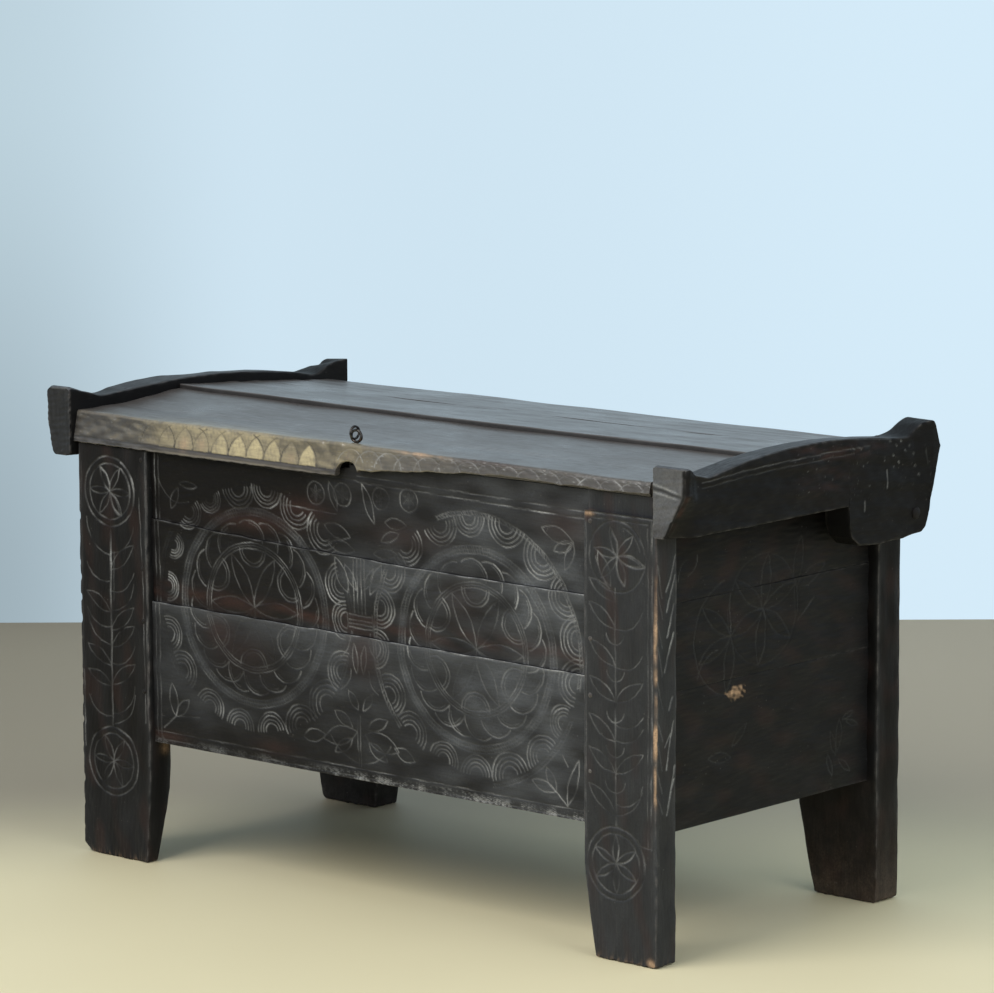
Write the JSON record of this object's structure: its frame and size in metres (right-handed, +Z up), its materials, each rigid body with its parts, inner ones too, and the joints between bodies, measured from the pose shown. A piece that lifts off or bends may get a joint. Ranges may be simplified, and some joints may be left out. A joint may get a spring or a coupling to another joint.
{
  "type": "storage chest",
  "caption": "Low carpentered wooden chest on plank posts, front carved with compass rosettes, with a lid between arched, horned end pieces on wooden pins and an iron ring.",
  "frame": {"origin": "on the floor, under the middle of the whole object's bounding box", "axes": "+X along the chest to its right end as seen from the front, +Y to its back, +Z up; the carved front faces -Y"},
  "size_m": [1.323, 0.65, 0.755],
  "materials": {
    "post_wood": "dark worn satin",
    "carved_wood": "near-black satin, carving worn light",
    "end_wood": "dark worn satin",
    "inner_wood": "rough sawn",
    "lid_wood": "worn grey satin",
    "cheek_wood": "dark worn satin",
    "peg_wood": "worn end grain",
    "iron": "dark forged iron"
  },
  "bodies": {
    "chest": {"post_front_left": "post_wood", "post_front_right": "post_wood", "post_back_left": "post_wood", "post_back_right": "post_wood", "front_board_bottom": "carved_wood", "front_board_middle": "carved_wood", "front_board_top": "carved_wood", "back_board_bottom": "inner_wood", "back_board_middle": "inner_wood", "back_board_top": "inner_wood", "left_end_board_bottom": "end_wood", "left_end_board_middle": "end_wood", "left_end_board_top": "end_wood", "right_end_board_bottom": "end_wood", "right_end_board_middle": "end_wood", "right_end_board_top": "end_wood", "floor_board_front": "inner_wood", "floor_board_middle": "inner_wood", "floor_board_rear": "inner_wood", "board_pegs_front_left": "peg_wood", "board_pegs_front_right": "peg_wood", "board_pegs_back_left": "peg_wood", "board_pegs_back_right": "peg_wood", "hinge_pin_left": "peg_wood", "hinge_pin_right": "peg_wood"},
    "lid": {"lid_board_front": "lid_wood", "lid_board_middle": "lid_wood", "lid_board_rear": "lid_wood", "lid_cheek_left": "cheek_wood", "lid_cheek_right": "cheek_wood", "lid_pegs_left": "peg_wood", "lid_pegs_right": "peg_wood", "ring_eye": "iron"},
    "ring": {"pull_ring": "iron"}
  },
  "joints": [
    {"name": "lid_hinge", "type": "hinge", "parent": "chest", "child": "lid", "pos_m": [-0.0065, 0.249, 0.616], "axis": [-1, 0, 0], "range_deg": [0, 120]},
    {"name": "ring_swing", "type": "hinge", "parent": "lid", "child": "ring", "pos_m": [-0.0125, -0.295, 0.743], "axis": [-1, 0, 0], "range_deg": [0, 270]}
  ]
}
